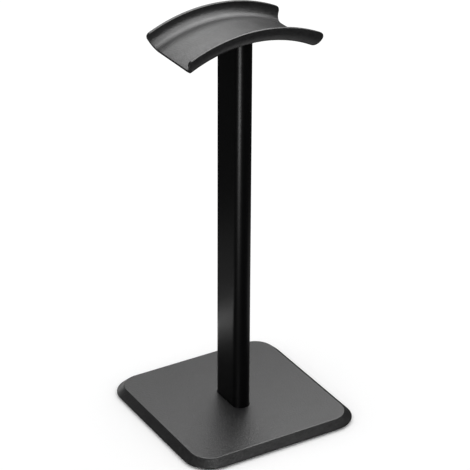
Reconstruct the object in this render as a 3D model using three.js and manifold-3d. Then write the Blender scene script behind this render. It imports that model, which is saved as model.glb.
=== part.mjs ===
// Headphone stand: a square weighted base, a flat extruded post and a curved trough that carries a headband.
// Millimetres, +Z up, origin on the table under the middle of the base.
// X runs along the headband's arc, Y runs across the trough, and the front is -Y.
import * as THREE from 'three';
import { mergeVertices } from 'three/addons/utils/BufferGeometryUtils.js';
import Module from 'manifold-3d';

const wasm = await Module();
wasm.setup();

// Base
const BASE_SIDE = 120;
const BASE_CORNER = 18;
const RIM_LAND = 0.4; // upright edge under the chamfer
const CHAMFER_RISE = 4.4;
const CHAMFER_INSET = 4.9;
const COVER_WALL = 1.5;
const COVER_INNER_SIDE = 109;
const COVER_INNER_CORNER = 12.5;
const FOOT_PROUD = 1.5; // the cover's rim stands this high above the table
const BOTTOM_PLATE = 1.3;
const PLATE_PLAY = 0.3; // gap between a plate's edge and the cover

// Feet
const FOOT_RADIUS = 7;
const FOOT_POCKET = 0.6;
const FOOT_OFFSET = 43;
const FOOT_EDGE = 0.4;
const FOOT_PLAY = 0.2; // radial play of a foot in its pocket

// Small screws that hold the bottom plate, driven up into bosses in the cover
const PLATE_SCREW_OFFSET = 47;
const PLATE_SCREW = { shank: 1, head: 2.3, cone: 1.2, length: 3.9 };
const BOSS_RADIUS = 3;
const BOSS_BORE = 1.15;
const BOSS_BORE_DEPTH = 2.9;
const BOSS_CLEARANCE = 0.4; // gap between a boss and the ballast plate

// Post
const POST_THICK = 11.6;
const POST_WIDE = 28.8;
const POST_CORNER = 5.6;
const POST_WALL = 1.5;
const POST_SLOT_PLAY = 0.15;
const PORT_OFFSET = 9.7; // middle of each screw channel from the post's middle
const PORT_RADIUS = 3.6;
const PORT_BORE = 2.1;
const PORT_SLIT = 2.2;
const POST_SCREW = { shank: 1.95, head: 3.75, cone: 1.8, length: 18 };
const BRACKET_SCREW = { shank: 1.95, head: 3.2, cone: 1.25, length: 15 };
const DRIVER_PLAY = 0.75; // room around a post screw's head in the bottom plate

// Saddle, a wall of even thickness swept along an arc about an axis parallel to Y
const SADDLE_UNDERSIDE = 257.3; // height of the crown of its lower surface
const SADDLE_ARC = 91.8; // radius of the lower surface
const SADDLE_HALF_ANGLE = 0.472;
const SADDLE_HALF_WIDTH = 25.8;
const SADDLE_WALL = 2;
const LIP_RISE = 10.1; // rim above the lower surface
const LIP_FILLET = 8.8; // outer radius between floor and lip
const TIP_CORNER = 3; // rounding of the lips' four upper corners

// Bracket between the post and the saddle
const BRACKET_PLAY = 0.25;
const BRACKET_WALL = 2;
const BRACKET_HALF_WIDTH = 10.5;
const BRACKET_HALF_ANGLE = 0.2;
const BRACKET_SEAT = 1.5; // plate left above the post's end
const POCKET_PLAY = 0.3; // gap between the bracket's pocket and the post
const TENON_THICK = 8;
const TENON_WIDE = 10;
const TENON_RIB = 2;
const TENON_DEPTH = 18;
const SADDLE_SCREW_ANGLE = 0.145;
const SADDLE_SCREW_OFFSET = 6;
const SADDLE_SCREW = { shank: 1.1, head: 2.5, cone: 1.3, length: 3.4 };
const SADDLE_BOSS_RADIUS = 2.4;
const SADDLE_BOSS_RISE = 2.1;
const SADDLE_BOSS_ROOT = 0.8; // how far a boss reaches into the saddle's wall
const SADDLE_BOSS_BORE = 1.2;
const SADDLE_BORE_END = 1.2; // how far the bore reaches into the saddle's wall
const SADDLE_SCREW_GAP = 0.15; // between a screw's cone and the boss above it
const SADDLE_BOSS_PLAY = 0.3; // gap around a boss in the bracket

const SCREW_PLAY = 0.2; // radial play between a screw and its countersunk hole
const SCREW_SUNK = 0.1; // depth of a head's flat below the face around it

// Cross recess in a screw's head
const RECESS_ARM = 0.55;
const RECESS_WIDTH = 0.28;
const RECESS_DEPTH = 0.7;

const RIM_Z = FOOT_PROUD;
const BASE_TOP = RIM_Z + RIM_LAND + CHAMFER_RISE;
const CAVITY_TOP = BASE_TOP - COVER_WALL;
const PLATE_TOP = RIM_Z + BOTTOM_PLATE;
const BRACKET_TOP = SADDLE_UNDERSIDE - BRACKET_PLAY;
const POST_TOP = BRACKET_TOP - BRACKET_SEAT;
const ARC_CENTRE = SADDLE_UNDERSIDE - SADDLE_ARC;
const QUARTERS = [0, 1, 2, 3].map((k) => (k * Math.PI) / 2);
const CORNERS = [[-1, -1], [1, -1], [1, 1], [-1, 1]];

const FINISH = {
  abs: { color: 0x26272a, roughness: 0.42, metalness: 0 },
  anodised: { color: 0x0d0e10, roughness: 0.34, metalness: 0.8 },
  zinc: { color: 0x9c9d9a, roughness: 0.45, metalness: 0.9 },
  nylon: { color: 0x1b1b1d, roughness: 0.6, metalness: 0 },
  rubber: { color: 0x151515, roughness: 0.85, metalness: 0 },
  blackScrew: { color: 0x1c1c1e, roughness: 0.4, metalness: 0.8 },
};

const stand = new THREE.Group();

function addPiece(name, geometry, finish, position = [0, 0, 0], turnY = 0) {
  const mesh = new THREE.Mesh(geometry, new THREE.MeshStandardMaterial(FINISH[finish]));
  mesh.name = name;
  mesh.position.set(...position);
  mesh.rotation.y = turnY;
  stand.add(mesh);
}

// Closed geometry to a solid: shared corners are merged and collapsed triangles dropped.
function toSolid(geometry) {
  const bare = geometry.index ? geometry.toNonIndexed() : geometry.clone();
  bare.deleteAttribute('normal');
  bare.deleteAttribute('uv');
  const merged = mergeVertices(bare, 1e-4);
  const corners = merged.index.array;
  const kept = [];
  for (let i = 0; i < corners.length; i += 3) {
    const [a, b, c] = [corners[i], corners[i + 1], corners[i + 2]];
    if (a !== b && b !== c && c !== a) kept.push(a, b, c);
  }
  return new wasm.Manifold(new wasm.Mesh({
    numProp: 3,
    vertProperties: new Float32Array(merged.attributes.position.array),
    triVerts: new Uint32Array(kept),
  }));
}

function toGeometry(solid) {
  const mesh = solid.getMesh();
  const geometry = new THREE.BufferGeometry();
  geometry.setAttribute('position', new THREE.BufferAttribute(mesh.vertProperties, 3));
  geometry.setIndex(new THREE.BufferAttribute(mesh.triVerts, 1));
  return geometry;
}

// Rectangle with round corners, its long sides given in X and Y.
function roundedRectangle(sizeX, sizeY, corner) {
  const [x, y] = [sizeX / 2 - corner, sizeY / 2 - corner];
  const outline = new THREE.Shape();
  outline.absarc(x, y, corner, 0, Math.PI / 2);
  outline.absarc(-x, y, corner, Math.PI / 2, Math.PI);
  outline.absarc(-x, -y, corner, Math.PI, 1.5 * Math.PI);
  outline.absarc(x, -y, corner, 1.5 * Math.PI, 2 * Math.PI);
  outline.closePath();
  return outline;
}

function prism(outline, bottom, top, curveSegments = 6) {
  const options = { depth: top - bottom, bevelEnabled: false, curveSegments };
  return new THREE.ExtrudeGeometry(outline, options).translate(0, 0, bottom);
}

function rod(radius, bottom, top, x = 0, y = 0, sides = 20) {
  const geometry = new THREE.CylinderGeometry(radius, radius, top - bottom, sides);
  return geometry.rotateX(Math.PI / 2).translate(x, y, (top + bottom) / 2);
}

function block(sizeX, sizeY, bottom, top, x = 0, y = 0) {
  return new THREE.BoxGeometry(sizeX, sizeY, top - bottom).translate(x, y, (top + bottom) / 2);
}

// Solid of revolution about Z from [radius, height] points that run up from the axis and back to it.
function turned(points, sides = 20) {
  const profile = points.map(([radius, height]) => new THREE.Vector2(radius, height));
  return new THREE.LatheGeometry(profile, sides).rotateX(Math.PI / 2);
}

// Cone that a countersunk head sits in: its wide end at z = 0, opening along -Z.
function countersink({ shank, head, cone }, depth) {
  const [wide, narrow] = [head + SCREW_PLAY, shank + SCREW_PLAY];
  return turned([[0, -1], [wide, -1], [wide, 0], [narrow, cone], [narrow, depth], [0, depth]]);
}

// Countersunk screw: flat of the head at z = 0, shank rising along +Z, cross recess in the head.
function screw({ shank, head, cone, length }) {
  const tip = shank * 0.6;
  const body = toSolid(turned([[0, 0], [head - 0.1, 0], [head - 0.1, 0.1], [shank, cone],
    [shank, length - tip], [shank - tip * 0.7, length], [0, length]], 16));
  const arm = head * RECESS_ARM;
  const width = head * RECESS_WIDTH;
  const depth = cone * RECESS_DEPTH;
  const cross = toSolid(block(2 * arm, width, -1, depth)).add(toSolid(block(width, 2 * arm, -1, depth)));
  return toGeometry(body.subtract(cross));
}

const aroundBase = (radius) => QUARTERS.map((turn) => [radius * Math.cos(turn), radius * Math.sin(turn)]);
const aroundCorners = (offset) => CORNERS.map(([x, y]) => [x * offset, y * offset]);
const ports = [[0, -PORT_OFFSET], [0, PORT_OFFSET]];

// Outline of the post or, with some play all round, of a hole that clears it.
function postOutline(play = 0) {
  return roundedRectangle(POST_THICK + 2 * play, POST_WIDE + 2 * play, POST_CORNER + play);
}

// Cover of the base: a shell with a chamfered edge, four bosses and a slot for the post.
function baseCover() {
  const topSide = BASE_SIDE - 2 * CHAMFER_INSET;
  const outline = roundedRectangle(topSide, topSide, BASE_CORNER - CHAMFER_INSET);
  const bevelled = new THREE.ExtrudeGeometry(outline, {
    depth: RIM_LAND,
    bevelSize: CHAMFER_INSET,
    bevelThickness: CHAMFER_RISE,
    bevelSegments: 1,
    curveSegments: 8,
  }).translate(0, 0, RIM_Z);
  const aboveRim = toSolid(block(2 * BASE_SIDE, 2 * BASE_SIDE, RIM_Z, BASE_TOP + 1));
  let cover = toSolid(bevelled).intersect(aboveRim);
  const inner = roundedRectangle(COVER_INNER_SIDE, COVER_INNER_SIDE, COVER_INNER_CORNER);
  cover = cover.subtract(toSolid(prism(inner, RIM_Z - 1, CAVITY_TOP)));
  for (const [x, y] of aroundBase(PLATE_SCREW_OFFSET)) {
    cover = cover.add(toSolid(rod(BOSS_RADIUS, PLATE_TOP, CAVITY_TOP + 0.2, x, y)));
    cover = cover.subtract(toSolid(rod(BOSS_BORE, PLATE_TOP - 1, PLATE_TOP + BOSS_BORE_DEPTH, x, y, 12)));
  }
  const slot = toSolid(prism(postOutline(POST_SLOT_PLAY), CAVITY_TOP - 1, BASE_TOP + 1));
  return toGeometry(cover.subtract(slot));
}

function ballastPlate() {
  const side = COVER_INNER_SIDE - 4 * PLATE_PLAY;
  let plate = toSolid(prism(roundedRectangle(side, side, COVER_INNER_CORNER), PLATE_TOP, CAVITY_TOP));
  for (const [x, y] of aroundBase(PLATE_SCREW_OFFSET)) {
    plate = plate.subtract(toSolid(rod(BOSS_RADIUS + BOSS_CLEARANCE, 0, BASE_TOP, x, y)));
  }
  for (const [x, y] of ports) {
    plate = plate.subtract(toSolid(countersink(POST_SCREW, 4).translate(x, y, PLATE_TOP)));
  }
  return toGeometry(plate);
}

function bottomPlate() {
  const side = COVER_INNER_SIDE - 2 * PLATE_PLAY;
  const outline = roundedRectangle(side, side, COVER_INNER_CORNER - PLATE_PLAY);
  let plate = toSolid(prism(outline, RIM_Z, PLATE_TOP));
  for (const [x, y] of aroundBase(PLATE_SCREW_OFFSET)) {
    plate = plate.subtract(toSolid(countersink(PLATE_SCREW, 4).translate(x, y, RIM_Z)));
  }
  for (const [x, y] of ports) {
    plate = plate.subtract(toSolid(rod(POST_SCREW.head + DRIVER_PLAY, 0, BASE_TOP, x, y)));
  }
  for (const [x, y] of aroundCorners(FOOT_OFFSET)) {
    plate = plate.subtract(toSolid(rod(FOOT_RADIUS + FOOT_PLAY, 0, RIM_Z + FOOT_POCKET, x, y, 24)));
  }
  return toGeometry(plate);
}

// Extruded post: a thin oval tube with a C-shaped screw channel at each narrow side.
function post() {
  const [bottom, top] = [CAVITY_TOP, POST_TOP];
  const [thick, wide] = [POST_THICK - 2 * POST_WALL, POST_WIDE - 2 * POST_WALL];
  const hollow = roundedRectangle(thick, wide, POST_CORNER - POST_WALL);
  let tube = toSolid(prism(postOutline(), bottom, top));
  tube = tube.subtract(toSolid(prism(hollow, bottom - 1, top + 1)));
  for (const [x, y] of ports) {
    tube = tube.add(toSolid(rod(PORT_RADIUS, bottom, top, x, y)));
  }
  for (const [x, y] of ports) {
    tube = tube.subtract(toSolid(rod(PORT_BORE, bottom - 1, top + 1, x, y, 16)));
    const reach = PORT_RADIUS + 1;
    const slit = block(PORT_SLIT, reach, bottom - 1, top + 1, x, y - (Math.sign(y) * reach) / 2);
    tube = tube.subtract(toSolid(slit));
  }
  return toGeometry(tube);
}

// Side view of a band between two radii about the arc's centre, extruded across the trough.
function arcBand(inner, outer, halfAngle, halfWidth, curveSegments) {
  const up = Math.PI / 2;
  const outline = new THREE.Shape();
  outline.absarc(0, 0, inner, up - halfAngle, up + halfAngle);
  outline.absarc(0, 0, outer, up + halfAngle, up - halfAngle, true);
  outline.closePath();
  return acrossTrough(outline, halfWidth, curveSegments);
}

// Outline drawn in X and height above the arc's centre, extruded along Y.
function acrossTrough(outline, halfWidth, curveSegments) {
  const options = { depth: 2 * halfWidth, bevelEnabled: false, curveSegments };
  const slab = new THREE.ExtrudeGeometry(outline, options).translate(0, 0, -halfWidth);
  return slab.rotateX(Math.PI / 2).translate(0, 0, ARC_CENTRE);
}

// What is cut away to round the lips' upper corners at one end of the saddle.
function tipCutter(side) {
  const [rim, up] = [SADDLE_ARC + LIP_RISE, Math.PI / 2];
  const reach = rim - TIP_CORNER;
  const crest = up + side * (SADDLE_HALF_ANGLE - Math.asin(TIP_CORNER / reach));
  const flank = up + side * (SADDLE_HALF_ANGLE + up);
  const outside = up + side * (SADDLE_HALF_ANGLE + 0.03);
  const outline = new THREE.Shape();
  outline.absarc(reach * Math.cos(crest), reach * Math.sin(crest), TIP_CORNER, crest, flank, side < 0);
  outline.lineTo(reach * Math.cos(outside), reach * Math.sin(outside));
  outline.lineTo((rim + 2) * Math.cos(outside), (rim + 2) * Math.sin(outside));
  outline.lineTo((rim + 2) * Math.cos(crest), (rim + 2) * Math.sin(crest));
  outline.closePath();
  return acrossTrough(outline, SADDLE_HALF_WIDTH + 1, 6);
}

// The line along the crown of the saddle's lower surface, from right to left.
class SaddleArc extends THREE.Curve {
  getPoint(t, target = new THREE.Vector3()) {
    const angle = SADDLE_HALF_ANGLE * (1 - 2 * t);
    return target.set(SADDLE_ARC * Math.sin(angle), 0, ARC_CENTRE + SADDLE_ARC * Math.cos(angle));
  }
}

// The trough's section: x runs across the trough, y rises from the lower surface.
function troughSection() {
  const [half, wall, rise, fillet] = [SADDLE_HALF_WIDTH, SADDLE_WALL, LIP_RISE, LIP_FILLET];
  const [right, left] = [half - fillet, fillet - half];
  const outline = new THREE.Shape();
  outline.moveTo(left, 0);
  outline.lineTo(right, 0);
  outline.absarc(right, fillet, fillet, -Math.PI / 2, 0);
  outline.lineTo(half, rise);
  outline.lineTo(half - wall, rise);
  outline.absarc(right, fillet, fillet - wall, 0, -Math.PI / 2, true);
  outline.absarc(left, fillet, fillet - wall, -Math.PI / 2, -Math.PI, true);
  outline.lineTo(wall - half, rise);
  outline.lineTo(-half, rise);
  outline.absarc(left, fillet, fillet, -Math.PI, -Math.PI / 2);
  outline.closePath();
  return outline;
}

// A place on the saddle's lower surface, moved inwards along the radius by the given depth.
function onArc(angle, y, depth) {
  const radius = SADDLE_ARC - depth;
  return [radius * Math.sin(angle), y, ARC_CENTRE + radius * Math.cos(angle)];
}

const saddleScrewPlaces = CORNERS.map(([alongArc, across]) => ({
  angle: alongArc * SADDLE_SCREW_ANGLE,
  y: across * SADDLE_SCREW_OFFSET,
}));

// Rod along the radius at a saddle screw's place, between two depths below the saddle's lower surface.
function radialRod(radius, place, deep, shallow, sides = 16) {
  const upright = rod(radius, -deep, -shallow, 0, 0, sides);
  return upright.rotateY(place.angle).translate(...onArc(place.angle, place.y, 0));
}

function saddle() {
  const sweep = { steps: 20, curveSegments: 4, extrudePath: new SaddleArc() };
  let shell = toSolid(new THREE.ExtrudeGeometry(troughSection(), sweep));
  for (const side of [1, -1]) shell = shell.subtract(toSolid(tipCutter(side)));
  for (const place of saddleScrewPlaces) {
    shell = shell.add(toSolid(radialRod(SADDLE_BOSS_RADIUS, place, SADDLE_BOSS_RISE, -SADDLE_BOSS_ROOT)));
  }
  for (const place of saddleScrewPlaces) {
    const bore = radialRod(SADDLE_BOSS_BORE, place, SADDLE_BOSS_RISE + 1, -SADDLE_BORE_END, 12);
    shell = shell.subtract(toSolid(bore));
  }
  return toGeometry(shell);
}

// Bracket: a curved plate under the saddle, pocketed for the post's end, with a ribbed tenon in the post.
function saddleBracket() {
  const outer = SADDLE_ARC - BRACKET_PLAY;
  let bracket = toSolid(arcBand(outer - BRACKET_WALL, outer, BRACKET_HALF_ANGLE, BRACKET_HALF_WIDTH, 12));
  bracket = bracket.subtract(toSolid(prism(postOutline(POCKET_PLAY), POST_TOP - 5, POST_TOP)));
  const seat = toSolid(prism(postOutline(), POST_TOP, BRACKET_TOP + 1));
  bracket = bracket.add(seat.intersect(toSolid(arcBand(outer - 10, outer, BRACKET_HALF_ANGLE, 20, 12))));
  const ribs = [[TENON_THICK, TENON_RIB], [TENON_RIB, TENON_WIDE]];
  for (const [sizeX, sizeY] of ribs) {
    bracket = bracket.add(toSolid(block(sizeX, sizeY, POST_TOP - TENON_DEPTH, POST_TOP + 0.5)));
  }
  for (const [x, y] of ports) {
    const hole = countersink(BRACKET_SCREW, 6).rotateX(Math.PI).translate(x, y, BRACKET_TOP - SCREW_SUNK);
    bracket = bracket.subtract(toSolid(hole));
  }
  for (const place of saddleScrewPlaces) {
    bracket = bracket.subtract(toSolid(radialRod(SADDLE_BOSS_RADIUS + SADDLE_BOSS_PLAY, place, 5, -1)));
  }
  return toGeometry(bracket);
}

addPiece('base_cover', baseCover(), 'abs');
addPiece('ballast_plate', ballastPlate(), 'zinc');
addPiece('base_bottom_plate', bottomPlate(), 'nylon');

const footHeight = RIM_Z + FOOT_POCKET;
const foot = turned([[0, 0], [FOOT_RADIUS - FOOT_EDGE, 0], [FOOT_RADIUS, FOOT_EDGE],
  [FOOT_RADIUS, footHeight], [0, footHeight]], 24);
const cornerNames = ['front_left', 'front_right', 'back_right', 'back_left'];
aroundCorners(FOOT_OFFSET).forEach(([x, y], k) => {
  addPiece(`rubber_foot_${cornerNames[k]}`, foot, 'rubber', [x, y, 0]);
});

const sideNames = ['right', 'back', 'left', 'front'];
aroundBase(PLATE_SCREW_OFFSET).forEach(([x, y], k) => {
  const place = [x, y, RIM_Z + SCREW_SUNK];
  addPiece(`bottom_plate_screw_${sideNames[k]}`, screw(PLATE_SCREW), 'blackScrew', place);
});

addPiece('post', post(), 'anodised');
ports.forEach(([x, y], k) => {
  const side = ['front', 'back'][k];
  addPiece(`post_screw_${side}`, screw(POST_SCREW), 'zinc', [x, y, PLATE_TOP + SCREW_SUNK]);
  const fromAbove = screw(BRACKET_SCREW).rotateX(Math.PI);
  addPiece(`bracket_screw_${side}`, fromAbove, 'zinc', [x, y, BRACKET_TOP - 2 * SCREW_SUNK]);
});

addPiece('saddle_bracket', saddleBracket(), 'nylon');
saddleScrewPlaces.forEach((place, k) => {
  const head = onArc(place.angle, place.y, SADDLE_BOSS_RISE + SADDLE_SCREW.cone + SADDLE_SCREW_GAP);
  addPiece(`saddle_screw_${cornerNames[k]}`, screw(SADDLE_SCREW), 'blackScrew', head, place.angle);
});
addPiece('headband_saddle', saddle(), 'abs');

export default stand;
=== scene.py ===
import math

import bpy
import numpy as np
from mathutils import Matrix, Vector
from mathutils.geometry import delaunay_2d_cdt


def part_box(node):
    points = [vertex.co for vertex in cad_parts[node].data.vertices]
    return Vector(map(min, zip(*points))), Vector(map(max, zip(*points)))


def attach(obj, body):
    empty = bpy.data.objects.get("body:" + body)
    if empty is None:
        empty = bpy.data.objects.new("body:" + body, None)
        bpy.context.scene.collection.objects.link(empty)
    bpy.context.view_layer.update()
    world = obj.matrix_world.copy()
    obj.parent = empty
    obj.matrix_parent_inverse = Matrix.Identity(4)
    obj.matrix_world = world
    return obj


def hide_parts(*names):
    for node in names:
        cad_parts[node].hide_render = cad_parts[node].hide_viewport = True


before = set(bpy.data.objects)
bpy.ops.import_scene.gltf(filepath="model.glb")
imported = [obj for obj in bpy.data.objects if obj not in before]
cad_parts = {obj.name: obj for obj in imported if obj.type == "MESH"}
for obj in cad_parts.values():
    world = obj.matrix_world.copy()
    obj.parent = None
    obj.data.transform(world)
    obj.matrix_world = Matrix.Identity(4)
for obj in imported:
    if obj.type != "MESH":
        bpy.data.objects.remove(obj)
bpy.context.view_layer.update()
scene = bpy.context.scene
MM = 0.001


# ----------------------------------------------------------------------------------------------------
# Base cover. The square black shell that shows as the base: one injection moulding in satin ABS,
# chamfered all round, with a slot that the post passes through and four screw bosses underneath.
# ----------------------------------------------------------------------------------------------------
cover_low, cover_high = (np.array(corner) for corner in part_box("base_cover"))
post_low, post_high = (np.array(corner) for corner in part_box("post"))
bottom_high = np.array(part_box("base_bottom_plate")[1])
screw_low, screw_high = (np.array(corner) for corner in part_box("bottom_plate_screw_right"))

cover_corner = 18 * MM
cover_wall = 1.5 * MM
cover_land = 0.4 * MM
cover_chamfer = 4.9 * MM
cover_edge_radius = 0.9 * MM
cover_land_radius, cover_rim_radius, cover_inner_radius = 0.3 * MM, 0.1 * MM, 0.25 * MM
plate_play = 0.3 * MM
rim_width = cover_high[0] - bottom_high[0] - plate_play
edge_band = 4 * MM
post_corner = 5.6 * MM
slot_play = 0.15 * MM
slot_edge_radius, slot_band = 0.25 * MM, 1 * MM
boss_radius, boss_bore, boss_root = 3 * MM, 1.15 * MM, 0.2 * MM
boss_edge_radius = 0.1 * MM
flat_steps, corner_steps = 10, 16


def rounded_outline(half_x, half_y, corner):
    """Rectangle with round corners, anticlockwise: four quarter circles with a straight run after each."""
    centres = np.array([[1, 1], [-1, 1], [-1, -1], [1, -1]]) * [half_x - corner, half_y - corner]
    turns = np.arange(4)[:, None] * math.pi / 2 + np.linspace(0, math.pi / 2, corner_steps + 1)
    arcs = centres[:, None] + corner * np.stack([np.cos(turns), np.sin(turns)], -1)
    share = np.linspace(0, 1, flat_steps + 1)[1:-1, None]
    runs = arcs[:, -1:] * (1 - share) + np.roll(arcs[:, 0], -1, axis=0)[:, None] * share
    return np.concatenate([arcs, runs], 1).reshape(-1, 2)


def rounded_profile(corners, radii, closed=False, steps=5, margin=0.12 * MM):
    """Line through the corners, each turned into a circular arc of its radius.

    An arc touches both straight parts; a point just before and after it keeps those parts flat in shading.
    """
    corners = np.array(corners, float)
    line = []
    for k, radius in enumerate(radii):
        inner = closed or 0 < k < len(corners) - 1
        if not inner or radius == 0:
            line.append(corners[k][None])
            continue
        here = corners[k]
        back, ahead = corners[k - 1] - here, corners[(k + 1) % len(corners)] - here
        back, ahead = back / np.linalg.norm(back), ahead / np.linalg.norm(ahead)
        half = math.acos(np.clip(back @ ahead, -1, 1)) / 2
        reach = radius / math.tan(half)
        centre = here + (back + ahead) / np.linalg.norm(back + ahead) * radius / math.sin(half)
        start, end = here + back * reach - centre, here + ahead * reach - centre
        sweep = math.pi - 2 * half
        share = np.linspace(0, 1, steps + 1)[:, None]
        arc = (np.sin((1 - share) * sweep) * start + np.sin(share * sweep) * end) / math.sin(sweep)
        before, after = here + back * (reach + margin), here + ahead * (reach + margin)
        line += [before[None], centre + arc, after[None]]
    return np.concatenate(line)


def carried(profile, half_x, half_y, corner):
    """Profile of (inset, height) carried round a rounded rectangle: one ring for each profile point."""
    outlines = [rounded_outline(half_x - inset, half_y - inset, corner - inset) for inset, _ in profile]
    heights = np.broadcast_to(profile[:, 1, None, None], (len(profile), len(outlines[0]), 1))
    return np.concatenate([np.array(outlines), heights], 2)


def turned(profile, sides=64):
    """Profile of (radius, height) turned about Z: one anticlockwise ring for each profile point."""
    angle = np.arange(sides) * 2 * math.pi / sides
    circle = np.stack([np.cos(angle), np.sin(angle), np.zeros(sides)], -1)
    return profile[:, :1, None] * circle + profile[:, 1:, None] * np.array([0, 0, 1])


def loft(rings, closed=False, poles=False):
    """Skin over a stack of rings: four-sided faces between neighbours.

    closed joins the last ring to the first; poles closes each end with a fan of triangles to its middle.
    """
    count, around = rings.shape[:2]
    index = np.arange(count * around).reshape(count, around)
    lower, upper = (index, np.roll(index, -1, 0)) if closed else (index[:-1], index[1:])
    quads = np.stack([lower, upper, np.roll(upper, -1, 1), np.roll(lower, -1, 1)], -1).reshape(-1, 4)
    points, faces = rings.reshape(-1, 3), quads.tolist()
    if poles:
        points = np.concatenate([points, rings[:1].mean(1), rings[-1:].mean(1)])
        first, last = index[0], index[-1]
        start = np.stack([first, np.roll(first, -1), np.full(around, len(points) - 2)], -1)
        end = np.stack([np.roll(last, -1), last, np.full(around, len(points) - 1)], -1)
        faces += start.tolist() + end.tolist()
    return points, faces


def joined(parts):
    """Several skins as one mesh."""
    offsets = np.cumsum([0] + [len(points) for points, _ in parts[:-1]])
    faces = [[int(corner + offset) for corner in face]
             for (_, part), offset in zip(parts, offsets) for face in part]
    return np.concatenate([points for points, _ in parts]), faces


def add_piece(name, skin, material, slot, *nodes):
    """A smooth-shaded piece that rides on the one rigid body and stands for the CAD nodes named."""
    mesh = bpy.data.meshes.new(name)
    mesh.from_pydata(skin[0].tolist(), [], skin[1])
    mesh.shade_smooth()
    mesh.materials.append(material)
    piece = bpy.data.objects.new(name, mesh)
    scene.collection.objects.link(piece)
    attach(piece, "root")
    if nodes:
        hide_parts(*nodes)
    return piece


def linear(shade):
    """sRGB hex text to linear red, green, blue and alpha."""
    parts = np.array([int(shade[k:k + 2], 16) for k in (0, 2, 4)]) / 255
    return (*np.where(parts > 0.04045, ((parts + 0.055) / 1.055) ** 2.4, parts / 12.92), 1.0)


def add_node(tree, kind, settings=None, links=None):
    """Adds a node: settings gives its properties and sockets' values, links joins sockets to outputs."""
    node = tree.nodes.new(kind)
    for name, value in (settings or {}).items():
        if isinstance(name, str) and hasattr(node, name):
            setattr(node, name, value)
        else:
            node.inputs[name].default_value = value
    for socket, output in (links or {}).items():
        tree.links.new(output, node.inputs[socket])
    return node


def new_material(name):
    """An empty material with its Principled shader and the piece's Object coordinates."""
    material = bpy.data.materials.new(name)
    material.use_nodes = True
    tree = material.node_tree
    coordinates = add_node(tree, "ShaderNodeTexCoord").outputs["Object"]
    return material, tree, tree.nodes["Principled BSDF"], coordinates


def moulded_abs():
    """Black ABS from an etched mould: a satin skin whose fine grain blurs reflections.

    Real etched grain is about 0.1 mm and would not show, so it is drawn at 1.3 mm. Soft patches, about
    6 mm wide, vary the gloss a little, as handling does, and sparse lint-sized flecks are slightly rougher.
    """
    material, tree, shader, place = new_material("moulded satin ABS")
    grain_width, patch_width, fleck_gap = 1.3 * MM, 6 * MM, 3 * MM
    grain = add_node(tree, "ShaderNodeTexNoise",
                     {"Scale": 1 / grain_width, "Detail": 2.0}, {"Vector": place})
    patches = add_node(tree, "ShaderNodeTexNoise",
                       {"Scale": 1 / patch_width, "Detail": 5.0}, {"Vector": place})
    flecks = add_node(tree, "ShaderNodeTexVoronoi", {"Scale": 1 / fleck_gap}, {"Vector": place})
    fleck = add_node(tree, "ShaderNodeMapRange",
                     {"From Min": 0.03, "From Max": 0.06, "To Min": 0.08, "To Max": 0.0},
                     {"Value": flecks.outputs["Distance"]})
    gloss = add_node(tree, "ShaderNodeMapRange",
                     {"From Min": 0.35, "From Max": 0.65, "To Min": 0.25, "To Max": 0.31},
                     {"Value": patches.outputs["Fac"]})
    pitted = add_node(tree, "ShaderNodeMath", {"operation": "MULTIPLY_ADD", 1: 0.22},
                      {0: grain.outputs["Fac"], 2: gloss.outputs["Result"]})
    rough = add_node(tree, "ShaderNodeMath", {"operation": "ADD"},
                     {0: pitted.outputs["Value"], 1: fleck.outputs["Result"]})
    tone = add_node(tree, "ShaderNodeMix",
                    {"data_type": "RGBA", 6: linear("080809"), 7: linear("232324")},
                    {"Factor": grain.outputs["Fac"]})
    bump = add_node(tree, "ShaderNodeBump", {"Strength": 0.8, "Distance": 0.14 * MM},
                    {"Height": grain.outputs["Fac"]})
    tree.links.new(rough.outputs["Value"], shader.inputs["Roughness"])
    tree.links.new(tone.outputs[2], shader.inputs["Base Color"])
    tree.links.new(bump.outputs["Normal"], shader.inputs["Normal"])
    shader.inputs["IOR"].default_value = 1.53
    return material


abs_skin = moulded_abs()

cover_top, cover_rim = cover_high[2], cover_low[2]
cover_ceiling = cover_top - cover_wall
slot_half = np.array([post_high[0], post_high[1]]) + slot_play
slot_profile = rounded_profile(
    [(0, cover_ceiling), (0, cover_top), (-slot_band, cover_top)], [0, slot_edge_radius, 0])
edge_profile = rounded_profile(
    [(cover_chamfer + edge_band, cover_top), (cover_chamfer, cover_top), (0, cover_rim + cover_land),
     (0, cover_rim), (rim_width, cover_rim), (rim_width, cover_ceiling),
     (rim_width + edge_band, cover_ceiling)],
    [0, cover_edge_radius, cover_land_radius, cover_rim_radius, cover_inner_radius, cover_inner_radius, 0])
cover_rings = np.concatenate([
    carried(slot_profile, *slot_half, post_corner + slot_play),
    carried(edge_profile, cover_high[0], cover_high[1], cover_corner),
])

boss_distance = (screw_low[0] + screw_high[0]) / 2
boss_profile = rounded_profile(
    [(boss_radius, cover_ceiling + boss_root), (boss_radius, bottom_high[2]), (boss_bore, bottom_high[2]),
     (boss_bore, cover_ceiling + boss_root)],
    [boss_edge_radius] * 4, closed=True, steps=2, margin=0.05 * MM)
boss_rings = turned(boss_profile, 48)
boss_places = boss_distance * np.array([[1, 0, 0], [0, 1, 0], [-1, 0, 0], [0, -1, 0]])
cover_skin = joined([loft(cover_rings, closed=True)]
                    + [loft(boss_rings + place, closed=True) for place in boss_places])
add_piece("base_cover_shell", cover_skin, abs_skin, "moulded_abs", "base_cover")


# ----------------------------------------------------------------------------------------------------
# Ballast plate. A square of 2 mm steel sheet, laser cut and zinc plated, that fills the cover and keeps
# the stand from tipping. The post is screwed to it from below.
# ----------------------------------------------------------------------------------------------------
def finish_node(name, material):
    """Gives a CAD node its material and leaves its mesh alone."""
    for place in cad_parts[name].material_slots:
        place.material = material


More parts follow.
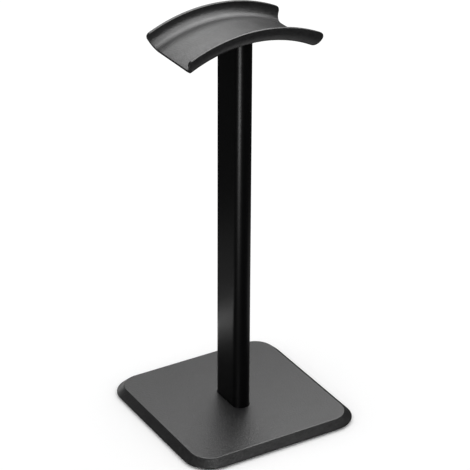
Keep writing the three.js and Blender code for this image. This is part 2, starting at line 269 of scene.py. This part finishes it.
def zinc_plate():
    """Bright zinc on steel: a cool grey metal with faint cloudy crystals and rolling lines along X."""
    material, tree, shader, place = new_material("zinc plated steel")
    crystal_width, line_width, line_length = 4 * MM, 0.4 * MM, 30 * MM
    crystals = add_node(tree, "ShaderNodeTexVoronoi", {"Scale": 1 / crystal_width}, {"Vector": place})
    stretched = add_node(tree, "ShaderNodeMapping",
                         {"Scale": (1 / line_length, 1 / line_width, 1 / line_width)},
                         {"Vector": place})
    lines = add_node(tree, "ShaderNodeTexNoise", {"Scale": 1.0, "Detail": 3.0},
                     {"Vector": stretched.outputs["Vector"]})
    tone = add_node(tree, "ShaderNodeMix",
                    {"data_type": "RGBA", 6: linear("a9adb2"), 7: linear("bfc1c2")},
                    {"Factor": crystals.outputs["Color"]})
    rough = add_node(tree, "ShaderNodeMapRange",
                     {"From Min": 0.3, "From Max": 0.7, "To Min": 0.28, "To Max": 0.42},
                     {"Value": lines.outputs["Fac"]})
    bump = add_node(tree, "ShaderNodeBump", {"Strength": 0.1, "Distance": 0.02 * MM},
                    {"Height": lines.outputs["Fac"]})
    tree.links.new(tone.outputs[2], shader.inputs["Base Color"])
    tree.links.new(rough.outputs["Result"], shader.inputs["Roughness"])
    tree.links.new(bump.outputs["Normal"], shader.inputs["Normal"])
    shader.inputs["Metallic"].default_value = 1.0
    return material


zinc = zinc_plate()
finish_node("ballast_plate", zinc)


# ----------------------------------------------------------------------------------------------------
# Bottom plate. A thin nylon moulding that closes the base, with round pockets for the feet, countersunk
# holes for its own four screws and two round holes that give a driver room to reach the post's screws.
# ----------------------------------------------------------------------------------------------------
def moulded_nylon():
    """Black glass-filled nylon: matt, with faint streaks where the glass fibres followed the melt.

    A fibre is about 0.01 mm across, so the streaks are drawn 0.5 mm wide and 6 mm long along X.
    """
    material, tree, shader, place = new_material("moulded glass-filled nylon")
    streak_width, streak_length, grain_width = 0.5 * MM, 6 * MM, 0.3 * MM
    stretched = add_node(tree, "ShaderNodeMapping",
                         {"Scale": (1 / streak_length, 1 / streak_width, 1 / streak_width)},
                         {"Vector": place})
    streaks = add_node(tree, "ShaderNodeTexNoise", {"Scale": 1.0, "Detail": 4.0, "Distortion": 0.6},
                       {"Vector": stretched.outputs["Vector"]})
    grain = add_node(tree, "ShaderNodeTexNoise",
                     {"Scale": 1 / grain_width, "Detail": 2.0}, {"Vector": place})
    tone = add_node(tree, "ShaderNodeMix",
                    {"data_type": "RGBA", 6: linear("19191b"), 7: linear("262628")},
                    {"Factor": streaks.outputs["Fac"]})
    rough = add_node(tree, "ShaderNodeMapRange",
                     {"From Min": 0.3, "From Max": 0.7, "To Min": 0.5, "To Max": 0.62},
                     {"Value": streaks.outputs["Fac"]})
    bump = add_node(tree, "ShaderNodeBump", {"Strength": 0.2, "Distance": 0.04 * MM},
                    {"Height": grain.outputs["Fac"]})
    tree.links.new(tone.outputs[2], shader.inputs["Base Color"])
    tree.links.new(rough.outputs["Result"], shader.inputs["Roughness"])
    tree.links.new(bump.outputs["Normal"], shader.inputs["Normal"])
    shader.inputs["IOR"].default_value = 1.53
    return material


nylon = moulded_nylon()
finish_node("base_bottom_plate", nylon)


# ----------------------------------------------------------------------------------------------------
# Feet. Four discs of black rubber, moulded with a rounded edge and a shallow grip groove, pressed into
# the bottom plate's pockets.
# ----------------------------------------------------------------------------------------------------
corners_round = ("front_left", "front_right", "back_right", "back_left")
foot_edge, foot_top_edge, foot_hub = 0.4 * MM, 0.15 * MM, 0.1 * MM
groove_place, groove_width, groove_depth = 0.62, 0.5 * MM, 0.25 * MM
groove_edge, groove_bottom = 0.1 * MM, 0.05 * MM


def soft_rubber():
    """Black rubber: dull and grippy, with fine mould grain and pale dust that sticks to it.

    The grain is about 0.05 mm and is drawn at 0.3 mm.
    """
    material, tree, shader, place = new_material("moulded rubber")
    grain_width, dust_gap = 0.3 * MM, 1.2 * MM
    grain = add_node(tree, "ShaderNodeTexNoise",
                     {"Scale": 1 / grain_width, "Detail": 3.0}, {"Vector": place})
    dust = add_node(tree, "ShaderNodeTexVoronoi", {"Scale": 1 / dust_gap}, {"Vector": place})
    dusty = add_node(tree, "ShaderNodeMapRange",
                     {"From Min": 0.05, "From Max": 0.2, "To Min": 0.5, "To Max": 0.0},
                     {"Value": dust.outputs["Distance"]})
    tone = add_node(tree, "ShaderNodeMix",
                    {"data_type": "RGBA", 6: linear("141414"), 7: linear("3a3936")},
                    {"Factor": dusty.outputs["Result"]})
    rough = add_node(tree, "ShaderNodeMapRange",
                     {"To Min": 0.72, "To Max": 0.9}, {"Value": grain.outputs["Fac"]})
    bump = add_node(tree, "ShaderNodeBump", {"Strength": 0.3, "Distance": 0.05 * MM},
                    {"Height": grain.outputs["Fac"]})
    tree.links.new(tone.outputs[2], shader.inputs["Base Color"])
    tree.links.new(rough.outputs["Result"], shader.inputs["Roughness"])
    tree.links.new(bump.outputs["Normal"], shader.inputs["Normal"])
    shader.inputs["IOR"].default_value = 1.52
    return material


rubber = soft_rubber()
for corner in corners_round:
    foot_low, foot_high = (np.array(end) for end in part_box(f"rubber_foot_{corner}"))
    foot_radius, foot_top = (foot_high[0] - foot_low[0]) / 2, foot_high[2]
    groove_out, groove_in = foot_radius * groove_place, foot_radius * groove_place - groove_width
    foot_profile = rounded_profile(
        [(foot_hub, foot_top), (foot_radius, foot_top), (foot_radius, 0), (groove_out, 0),
         (groove_out, groove_depth), (groove_in, groove_depth), (groove_in, 0), (foot_hub, 0)],
        [0, foot_top_edge, foot_edge, groove_edge, groove_bottom, groove_bottom, groove_edge, 0],
        margin=0.03 * MM)
    foot_middle = np.array([*(foot_low + foot_high)[:2] / 2, 0])
    add_piece(f"foot_{corner}", loft(turned(foot_profile) + foot_middle, poles=True), rubber, "foot_rubber",
              f"rubber_foot_{corner}")


# ----------------------------------------------------------------------------------------------------
# Bottom plate screws. Four small countersunk steel screws with a cross recess, cold headed, thread rolled
# and black oxidised, driven up through the bottom plate into the cover's bosses.
# ----------------------------------------------------------------------------------------------------
recess_arm, recess_width, recess_depth, recess_slope = 0.55, 0.28, 0.7, 0.6
thread_depth, thread_flank, rows_per_pitch = 0.2, 2.6, 9
head_lip, head_rows, head_hub = 0.1 * MM, 30, 0.04


def screw(head, shank, cone, length, pitch, sides=48):
    """Closed skin of a countersunk screw: flat of the head at z = 0, shank rising along Z.

    On the head, depth is a function of the place on the flat: full in a cross of two bars, zero outside.
    On the shank, radius is a function of height and angle: a ridge that climbs one pitch in each turn and
    fades out at both ends.
    """
    angle = -np.arange(sides) * 2 * math.pi / sides
    flat_radius, tip = head - head_lip, 0.6 * shank
    radius = np.linspace(head_hub, 1, head_rows)[:, None] * flat_radius
    x, y = np.abs(radius * np.cos(angle)), np.abs(radius * np.sin(angle))
    bar, half = recess_arm * head, recess_width * head / 2
    outside = np.minimum(np.maximum(x - bar, y - half), np.maximum(y - bar, x - half))
    sunk = recess_depth * cone * np.clip(-outside / (recess_slope * half), 0, 1)
    flat = np.stack([radius * np.cos(angle), radius * np.sin(angle), sunk], -1)

    height = np.arange(cone, length - tip, pitch / rows_per_pitch)[:, None]
    phase = (height / pitch + angle / (2 * math.pi)) % 1
    ridge = np.clip(thread_flank * np.minimum(phase, 1 - phase), 0, 1)
    fade = np.clip((height - cone) / pitch, 0, 1) * np.clip((length - tip - height) / pitch, 0, 1)
    reach = shank * (1 - thread_depth * ridge * fade)
    heights = np.broadcast_to(height, reach.shape)
    thread = np.stack([reach * np.cos(angle), reach * np.sin(angle), heights], -1)

    ends = np.array([[flat_radius, head_lip], [shank - 0.7 * tip, length], [0.3 * shank, length]])
    circle = np.stack([np.cos(angle), np.sin(angle), np.zeros(sides)], -1)
    rim, point, middle = ends[:, :1, None] * circle + ends[:, 1:, None] * np.array([0, 0, 1])
    return loft(np.concatenate([flat, rim[None], thread, point[None], middle[None]]), poles=True)


def placed(skin, place, flip=False, turn=0.0):
    """A skin turned over about X if flip is set, turned about Y by an angle, and moved to a place."""
    points, faces = skin
    points = points * [1, -1, -1] if flip else points
    cosine, sine = math.cos(turn), math.sin(turn)
    about_y = np.array([[cosine, 0, sine], [0, 1, 0], [-sine, 0, cosine]])
    return points @ about_y.T + place, faces


def black_oxide():
    """Black oxidised steel: a thin dark conversion layer over the metal, slightly blotched."""
    material, tree, shader, place = new_material("black oxidised steel")
    patch_width, grain_width = 1.5 * MM, 0.25 * MM
    patches = add_node(tree, "ShaderNodeTexNoise",
                       {"Scale": 1 / patch_width, "Detail": 3.0}, {"Vector": place})
    grain = add_node(tree, "ShaderNodeTexNoise",
                     {"Scale": 1 / grain_width, "Detail": 2.0}, {"Vector": place})
    tone = add_node(tree, "ShaderNodeMix",
                    {"data_type": "RGBA", 6: linear("1f2023"), 7: linear("34363a")},
                    {"Factor": patches.outputs["Fac"]})
    rough = add_node(tree, "ShaderNodeMapRange",
                     {"To Min": 0.3, "To Max": 0.5}, {"Value": grain.outputs["Fac"]})
    bump = add_node(tree, "ShaderNodeBump", {"Strength": 0.15, "Distance": 0.02 * MM},
                    {"Height": grain.outputs["Fac"]})
    tree.links.new(tone.outputs[2], shader.inputs["Base Color"])
    tree.links.new(rough.outputs["Result"], shader.inputs["Roughness"])
    tree.links.new(bump.outputs["Normal"], shader.inputs["Normal"])
    shader.inputs["Metallic"].default_value = 1.0
    return material


oxidised = black_oxide()
plate_screw_shank, plate_screw_cone, plate_screw_pitch = 1.0 * MM, 1.2 * MM, 0.8 * MM
for side in ("right", "back", "left", "front"):
    screw_low, screw_high = (np.array(end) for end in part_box(f"bottom_plate_screw_{side}"))
    head = (screw_high[0] - screw_low[0]) / 2 + 0.1 * MM
    middle = np.array([*(screw_low + screw_high)[:2] / 2, screw_low[2]])
    body = screw(head, plate_screw_shank, plate_screw_cone, screw_high[2] - screw_low[2], plate_screw_pitch)
    add_piece(f"plate_screw_{side}", placed(body, middle), oxidised, "black_screw",
              f"bottom_plate_screw_{side}")


# ----------------------------------------------------------------------------------------------------
# Post. A flat oval aluminium extrusion with a C-shaped screw channel at each narrow side, sawn to length,
# deburred and anodised black. It stands on the ballast plate and passes through the cover's slot.
# ----------------------------------------------------------------------------------------------------
post_wall = 1.5 * MM
post_half = post_high[:2]
channel_offset, channel_radius, channel_bore, slit_half = 9.7 * MM, 3.6 * MM, 2.1 * MM, 1.1 * MM


def anodised_aluminium():
    """Bead blasted and black anodised extrusion: a deep black whose highlights break up into fine sparkle.

    The blast pits are about 0.1 mm and are drawn at 0.7 mm so that they show. Faint die lines, drawn 0.6 mm
    wide, still run the length of the post, so that pattern is stretched along Z.
    """
    material, tree, shader, place = new_material("black anodised aluminium")
    line_width, line_length, speck_width = 0.6 * MM, 120 * MM, 0.7 * MM
    stretched = add_node(tree, "ShaderNodeMapping",
                         {"Scale": (1 / line_width, 1 / line_width, 1 / line_length)},
                         {"Vector": place})
    lines = add_node(tree, "ShaderNodeTexNoise", {"Scale": 1.0, "Detail": 3.0},
                     {"Vector": stretched.outputs["Vector"]})
    specks = add_node(tree, "ShaderNodeTexNoise",
                      {"Scale": 1 / speck_width, "Detail": 2.0}, {"Vector": place})
    height = add_node(tree, "ShaderNodeMix", {"data_type": "FLOAT", "Factor": 0.8},
                      {2: lines.outputs["Fac"], 3: specks.outputs["Fac"]})
    bump = add_node(tree, "ShaderNodeBump", {"Strength": 0.5, "Distance": 0.06 * MM},
                    {"Height": height.outputs[0]})
    rough = add_node(tree, "ShaderNodeMapRange",
                     {"From Min": 0.3, "From Max": 0.7, "To Min": 0.30, "To Max": 0.38},
                     {"Value": specks.outputs["Fac"]})
    tone = add_node(tree, "ShaderNodeMix",
                    {"data_type": "RGBA", 6: linear("020203"), 7: linear("060607")},
                    {"Factor": specks.outputs["Fac"]})
    tree.links.new(rough.outputs["Result"], shader.inputs["Roughness"])
    tree.links.new(bump.outputs["Normal"], shader.inputs["Normal"])
    tree.links.new(tone.outputs[2], shader.inputs["Base Color"])
    shader.inputs["Specular IOR Level"].default_value = 0.24
    return material


def arc(centre, radius, start, end, steps):
    """Points on a circle about a centre, evenly spaced from one angle in degrees to another."""
    angle = np.radians(np.linspace(start, end, steps + 1))
    return centre + radius * np.stack([np.cos(angle), np.sin(angle)], -1)


def cavity_line():
    """Inner line of the extrusion, anticlockwise, as arcs joined by straight runs.

    It goes up a side wall, round the corner to where that meets the channel's outside, back along the
    outside to the slit, and in round the bore; then the mirror image, then all of it turned half a turn.
    """
    corner, channel = post_corner - post_wall, np.array([0, channel_offset])
    pivot = post_half - post_wall - corner
    apart = np.linalg.norm(channel - pivot)
    towards = (channel - pivot) / apart
    along = (corner ** 2 - channel_radius ** 2 + apart ** 2) / (2 * apart)
    aside = math.sqrt(corner ** 2 - along ** 2)
    meeting = pivot + along * towards + aside * towards[::-1] * [1, -1]
    corner_end, outside_start = (math.degrees(math.atan2(*(meeting - middle)[::-1]))
                                 for middle in (pivot, channel))
    outside_end, bore_start = (math.degrees(math.asin(slit_half / radius)) - 90
                               for radius in (channel_radius, channel_bore))
    right = np.concatenate([arc(pivot, corner, 0, corner_end, 10),
                            arc(channel, channel_radius, outside_start, outside_end, 20)[1:],
                            arc(channel, channel_bore, bore_start, 90, 18)])
    end = np.concatenate([right, right[-2::-1] * [-1, 1]])
    return np.concatenate([end, -end])


def within(line, places):
    """Which places are inside a closed line: a ray to their right crosses it an odd number of times."""
    (x, y), (x0, y0), (x1, y1) = places.T[..., None], line.T, np.roll(line, -1, 0).T
    spans = (y0 > y) != (y1 > y)
    crossing = x0 + (x1 - x0) * (y - y0) / np.where(y1 == y0, 1, y1 - y0)
    return (spans & (x < crossing)).sum(1) % 2 == 1


def tube(outer, inner):
    """Closed skin of a tube: outer rings from top to bottom, inner rings from bottom to top, and flat ends
    filled with Delaunay triangles, less those whose middle is in the cavity."""
    points, faces = joined([loft(outer), loft(inner)])
    rows = np.arange(len(points))
    outer_rows = rows[:outer.shape[0] * outer.shape[1]].reshape(outer.shape[:2])
    inner_rows = rows[outer_rows.size:].reshape(inner.shape[:2])
    for rim, mouth, turn in ((outer_rows[0], inner_rows[-1], 1), (outer_rows[-1], inner_rows[0], -1)):
        both = np.concatenate([rim, mouth])
        flat = points[both, :2] / MM
        edges = [(int(k), int(m)) for line in (np.arange(len(rim)), len(rim) + np.arange(len(mouth)))
                 for k, m in zip(line, np.roll(line, -1))]
        filled = delaunay_2d_cdt([Vector(place) for place in flat], edges, [], 1, 1e-5)
        triangles, origin = filled[2:4]
        triangles = np.array([found[0] for found in origin])[np.array(triangles)]
        metal = triangles[~within(points[mouth, :2] / MM, flat[triangles].mean(1))]
        faces += both[metal[:, ::turn]].tolist()
    return points, faces


post_bottom, post_top = post_low[2], post_high[2]
post_edge_radius, post_end_band = 0.2 * MM, 0.5 * MM
post_profile = rounded_profile(
    [(post_end_band, post_top), (0, post_top), (0, post_bottom), (post_end_band, post_bottom)],
    [0, post_edge_radius, post_edge_radius, 0])
post_rings = carried(post_profile, *post_half, post_corner)
cavity = cavity_line()
cavity_rings = np.stack([np.column_stack([cavity, np.full(len(cavity), height)])
                         for height in (post_bottom, post_top)])
anodised = anodised_aluminium()
add_piece("post_extrusion", tube(post_rings, cavity_rings), anodised, "anodised_post", "post")


# ----------------------------------------------------------------------------------------------------
# Post screws. Two zinc plated steel screws, driven up through the ballast plate into the channels inside
# the post.
# ----------------------------------------------------------------------------------------------------
post_screw_shank, post_screw_cone, post_screw_pitch = 1.95 * MM, 1.8 * MM, 1.4 * MM
for side in ("front", "back"):
    screw_low, screw_high = (np.array(end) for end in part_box(f"post_screw_{side}"))
    head = (screw_high[0] - screw_low[0]) / 2 + 0.1 * MM
    middle = np.array([*(screw_low + screw_high)[:2] / 2, screw_low[2]])
    body = screw(head, post_screw_shank, post_screw_cone, screw_high[2] - screw_low[2], post_screw_pitch)
    add_piece(f"channel_screw_{side}", placed(body, middle), zinc, "zinc_screw", f"post_screw_{side}")


# ----------------------------------------------------------------------------------------------------
# Bracket and its screws. A nylon moulding that joins the saddle to the post: a curved plate with a ribbed
# tenon inside the post's end. Two zinc plated screws go down through it into the post's channels.
# ----------------------------------------------------------------------------------------------------
finish_node("saddle_bracket", nylon)
bracket_screw_cone = 1.25 * MM
for side in ("front", "back"):
    screw_low, screw_high = (np.array(end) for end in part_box(f"bracket_screw_{side}"))
    head = (screw_high[0] - screw_low[0]) / 2 + 0.1 * MM
    middle = np.array([*(screw_low + screw_high)[:2] / 2, screw_high[2]])
    body = screw(head, post_screw_shank, bracket_screw_cone, screw_high[2] - screw_low[2], post_screw_pitch)
    add_piece(f"bracket_bolt_{side}", placed(body, middle, flip=True), zinc, "zinc_screw",
              f"bracket_screw_{side}")


# ----------------------------------------------------------------------------------------------------
# Saddle. An arched trough with raised lips that carries the headband, moulded in the same satin ABS with
# an even wall. Its four tips are rounded, and four short bosses underneath take the screws.
# ----------------------------------------------------------------------------------------------------
saddle_high = np.array(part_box("headband_saddle")[1])
saddle_wall = 2 * MM
saddle_arc = 91.8 * MM
saddle_half_angle = 0.472
lip_rise = 10.1 * MM
lip_fillet = 8.8 * MM
tip_corner = 3 * MM
saddle_edge = 0.4 * MM
saddle_half_width = saddle_high[1]
rim_arc = saddle_arc + lip_rise
arc_centre = saddle_high[2] - rim_arc
floor_half = saddle_half_width - lip_fillet
middle_fillet = lip_fillet - saddle_wall / 2
bend_length = middle_fillet * math.pi / 2
sheet_half = np.array([saddle_half_angle * rim_arc, floor_half + bend_length + lip_rise - lip_fillet])


def graded(half, inset, steps):
    """Positions from -half to half: even steps in the middle, closer ones within the inset at both ends."""
    near_edge = half - inset * (1 - np.sin(np.linspace(0, math.pi / 2, 9)))
    middle = np.linspace(-(half - inset), half - inset, steps + 1)
    return np.concatenate([-near_edge[:0:-1], middle, near_edge[1:]])


def rounded_sheet(half, corner, steps, inset):
    """Flat grid over a rectangle with round corners, shrunk all round by the inset.

    Inside each corner square, a point keeps its direction from the square's inner corner, and its distance
    along the longer axis becomes its radius, which turns the square into a quarter disc.
    """
    shares = [graded(1.0, corner / reach, count) for reach, count in zip(half, steps)]
    u, v = np.meshgrid(*shares, indexing="ij")
    spread, start = half - corner, 1 - corner / half
    past = np.stack([np.maximum(np.abs(u) - start[0], 0) / (1 - start[0]),
                     np.maximum(np.abs(v) - start[1], 0) / (1 - start[1])], -1)
    length = np.linalg.norm(past, axis=-1, keepdims=True)
    past *= past.max(-1, keepdims=True) / np.where(length > 0, length, 1)
    within = np.stack([np.minimum(np.abs(u) / start[0], 1), np.minimum(np.abs(v) / start[1], 1)], -1)
    return np.sign(np.stack([u, v], -1)) * (within * spread + past * (corner - inset))


def bent(flat, lift):
    """Flat sheet bent into the trough: across it runs along the floor, round the fillet and up the lip;
    along it follows the arc. lift is the height above the middle of the wall, towards the inside."""
    along, across = flat[..., 0], flat[..., 1]
    distance = np.abs(across)
    turn = np.clip((distance - floor_half) / middle_fillet, 0, math.pi / 2)
    radius = middle_fillet - lift
    straight = np.maximum(distance - floor_half - bend_length, 0)
    side = np.minimum(distance, floor_half) + radius * np.sin(turn)
    rise = lip_fillet - radius * np.cos(turn) + straight
    angle, reach = along / rim_arc, saddle_arc + rise
    return np.stack([reach * np.sin(angle), np.sign(across) * side, arc_centre + reach * np.cos(angle)], -1)


def edge_loop(grid):
    """The border of a grid of points, anticlockwise."""
    return np.concatenate([grid[:-1, 0], grid[-1, :-1], grid[:0:-1, -1], grid[0, :0:-1]])


def trough():
    """Closed skin of the trough: an upper and a lower sheet, joined all round by a rounded edge."""
    steps, half_wall = (72, 48), saddle_wall / 2
    sheet = rounded_sheet(sheet_half, tip_corner, steps, saddle_edge)
    rows, columns = sheet.shape[:2]
    inside, outside = bent(sheet, half_wall), bent(sheet, -half_wall)
    sweep = np.linspace(0, math.pi / 2, 6)[1:]
    insets = saddle_edge * (1 - np.sin(sweep))
    lifts = half_wall - saddle_edge * (1 - np.cos(sweep))
    rings = [bent(edge_loop(rounded_sheet(sheet_half, tip_corner, steps, inset)), lift)
             for inset, lift in zip([*insets, *insets[::-1]], [*lifts, *-lifts[::-1]])]
    index = np.arange(rows * columns).reshape(rows, columns)
    quads = np.stack([index[:-1, :-1], index[1:, :-1], index[1:, 1:], index[:-1, 1:]], -1).reshape(-1, 4)
    upper, lower = quads, quads[:, ::-1] + rows * columns
    loop = edge_loop(index)
    first = 2 * rows * columns
    ring_index = first + np.arange(len(rings) * len(loop)).reshape(len(rings), -1)
    stack = np.concatenate([loop[None], ring_index, loop[None] + rows * columns])
    ahead = np.roll(stack, -1, 1)
    edge = np.stack([stack[:-1], stack[1:], ahead[1:], ahead[:-1]], -1).reshape(-1, 4)
    points = np.concatenate([inside.reshape(-1, 3), outside.reshape(-1, 3), np.concatenate(rings)])
    return points, np.concatenate([upper, lower, edge]).tolist()


saddle_boss_radius, saddle_boss_bore = 2.4 * MM, 1.2 * MM
saddle_boss_rise, saddle_boss_root = 2.1 * MM, 0.8 * MM
boss_edges = [0.1 * MM, 0.2 * MM, 0.1 * MM, 0.1 * MM]
saddle_screw_angle, saddle_screw_offset = 0.145, 6 * MM
boss_section = rounded_profile(
    [(saddle_boss_radius, saddle_boss_root), (saddle_boss_radius, -saddle_boss_rise),
     (saddle_boss_bore, -saddle_boss_rise), (saddle_boss_bore, saddle_boss_root)],
    boss_edges, closed=True, steps=2, margin=0.05 * MM)
screw_places = {name: (saddle_screw_angle * along, saddle_screw_offset * across)
                for name, along, across in zip(corners_round, (-1, 1, 1, -1), (-1, -1, 1, 1))}


def on_arc(angle, across, depth):
    """A place on the saddle's lower surface, moved inwards along the arc's radius by a depth."""
    return np.array([(saddle_arc - depth) * math.sin(angle), across,
                     arc_centre + (saddle_arc - depth) * math.cos(angle)])


saddle_bosses = [placed(loft(turned(boss_section, 40), closed=True), on_arc(angle, across, 0), turn=angle)
                 for angle, across in screw_places.values()]
add_piece("saddle_trough", joined([trough()] + saddle_bosses), abs_skin, "moulded_abs", "headband_saddle")


# ----------------------------------------------------------------------------------------------------
# Saddle screws. Four short black oxidised screws, driven up through the bracket into the saddle's bosses,
# each square to the arc where it stands.
# ----------------------------------------------------------------------------------------------------
saddle_screw_head, saddle_screw_shank, saddle_screw_cone = 2.5 * MM, 1.1 * MM, 1.3 * MM
saddle_screw_length, saddle_screw_pitch, saddle_screw_gap = 3.4 * MM, 0.8 * MM, 0.15 * MM
saddle_screw = screw(saddle_screw_head, saddle_screw_shank, saddle_screw_cone, saddle_screw_length,
                     saddle_screw_pitch)
for corner, (angle, across) in screw_places.items():
    seat = on_arc(angle, across, saddle_boss_rise + saddle_screw_cone + saddle_screw_gap)
    add_piece(f"saddle_bolt_{corner}", placed(saddle_screw, seat, turn=angle), oxidised, "black_screw",
              f"saddle_screw_{corner}")


# ----------------------------------------------------------------------------------------------------
# Floor, lights and camera. A plain pale floor, an evenly white room, softboxes that are seen only in the
# stand's gloss, and a long lens.
# ----------------------------------------------------------------------------------------------------
floor_size, floor_gap = 6.0, 0.02 * MM
floor_mesh = bpy.data.meshes.new("floor")
floor_corners = [(x * floor_size, y * floor_size, -floor_gap)
                 for x, y in ((-1, -1), (1, -1), (1, 1), (-1, 1))]
floor_mesh.from_pydata(floor_corners, [], [(0, 1, 2, 3)])
floor = bpy.data.objects.new("floor", floor_mesh)
scene.collection.objects.link(floor)
floor_paint, floor_tree, floor_shader, floor_place = new_material("matt white card")
mottle_width = 60 * MM
mottle = add_node(floor_tree, "ShaderNodeTexNoise", {"Scale": 1 / mottle_width, "Detail": 4.0},
                  {"Vector": floor_place})
paleness = add_node(floor_tree, "ShaderNodeMix",
                    {"data_type": "RGBA", 6: linear("f8f8f8"), 7: linear("fafafa")},
                    {"Factor": mottle.outputs["Fac"]})
floor_tree.links.new(paleness.outputs[2], floor_shader.inputs["Base Color"])
floor_shader.inputs["Roughness"].default_value = 0.9
floor_shader.inputs["Specular IOR Level"].default_value = 0.0
floor_mesh.materials.append(floor_paint)
floor.visible_glossy = False

# The room is evenly white. Its own reflections are kept dim, so that the softboxes shape the gloss.
room_light, room_gloss = 1.12, 0.04
world = bpy.data.worlds.new("studio")
world.use_nodes = True
room = world.node_tree
ray = add_node(room, "ShaderNodeLightPath")
room_level = add_node(room, "ShaderNodeMapRange", {"To Min": room_light, "To Max": room_gloss},
                      {"Value": ray.outputs["Is Glossy Ray"]})
room.links.new(room_level.outputs["Result"], room.nodes["Background"].inputs["Strength"])
room.nodes["Background"].inputs["Color"].default_value = (1, 1, 1, 1)
scene.world = world
scene.view_settings.view_transform = "Standard"


def softbox(name, place, aim, width, height, brightness):
    """Rectangular area light at a place, facing the aim, that shows only in the stand's gloss.

    Brightness is the radiance of its face, so a softbox keeps its look when its size changes.
    """
    away = np.array(place, float) - aim
    away /= np.linalg.norm(away)
    side = np.cross([0, 1, 0] if abs(away[2]) > 0.9 else [0, 0, 1], away)
    side /= np.linalg.norm(side)
    light = bpy.data.lights.new(name, "AREA")
    light.shape, light.size, light.size_y = "RECTANGLE", width, height
    light.energy = brightness * math.pi * width * height
    lamp = bpy.data.objects.new(name, light)
    lamp.location = place
    lamp.rotation_euler = Matrix(np.stack([side, np.cross(away, side), away], 1).tolist()).to_euler()
    lamp.visible_diffuse = lamp.visible_camera = False
    scene.collection.objects.link(lamp)


# In turn: the sheen on the base and in the trough, the light on the far lip's fillet, the line down the
# post's left edge, the right chamfers, the left corner of the base, and the glow low on the post.
softbox("overhead_scrim", (0.46, 0.51, 0.95), (0.46, 0.51, 0), 1.42, 1.2, 4.6)
softbox("saddle_scrim", (0.04, -0.10, 0.43), (0.04, -0.10, 0), 0.24, 0.30, 4.8)
softbox("left_strip", (-0.33, -0.215, 0.07), (0, 0, 0.2), 0.15, 0.12, 12.5)
softbox("right_card", (0.17, 0.00, 0.002), (0.17, 0.00, 1), 0.16, 0.24, 0.35)
softbox("corner_strip", (-0.055, 0.09, 0.006), (-0.055, 0.055, 0.004), 0.09, 0.012, 1.7)
softbox("floor_card", (-0.10, 0.14, 0.002), (-0.10, 0.14, 1), 0.16, 0.14, 0.16)

camera_azimuth, camera_pitch, camera_roll = map(math.radians, (-30.81, 27.58, 0.28))
camera_aim = np.array([1.9, 2.0, 122.2]) * MM
camera_distance = 1.27
focal_length, sensor_width = 157.5, 36
back = np.array([math.sin(camera_azimuth) * math.cos(camera_pitch),
                 -math.cos(camera_azimuth) * math.cos(camera_pitch), math.sin(camera_pitch)])
level = np.array([math.cos(camera_azimuth), math.sin(camera_azimuth), 0])
upright = np.cross(back, level)
camera_axes = np.stack([level * math.cos(camera_roll) + upright * math.sin(camera_roll),
                        upright * math.cos(camera_roll) - level * math.sin(camera_roll), back], 1)
lens = bpy.data.cameras.new("camera")
lens.lens, lens.sensor_width = focal_length, sensor_width
camera = bpy.data.objects.new("camera", lens)
camera.location = camera_aim + back * camera_distance
camera.rotation_euler = Matrix(camera_axes.tolist()).to_euler()
scene.collection.objects.link(camera)
scene.camera = camera
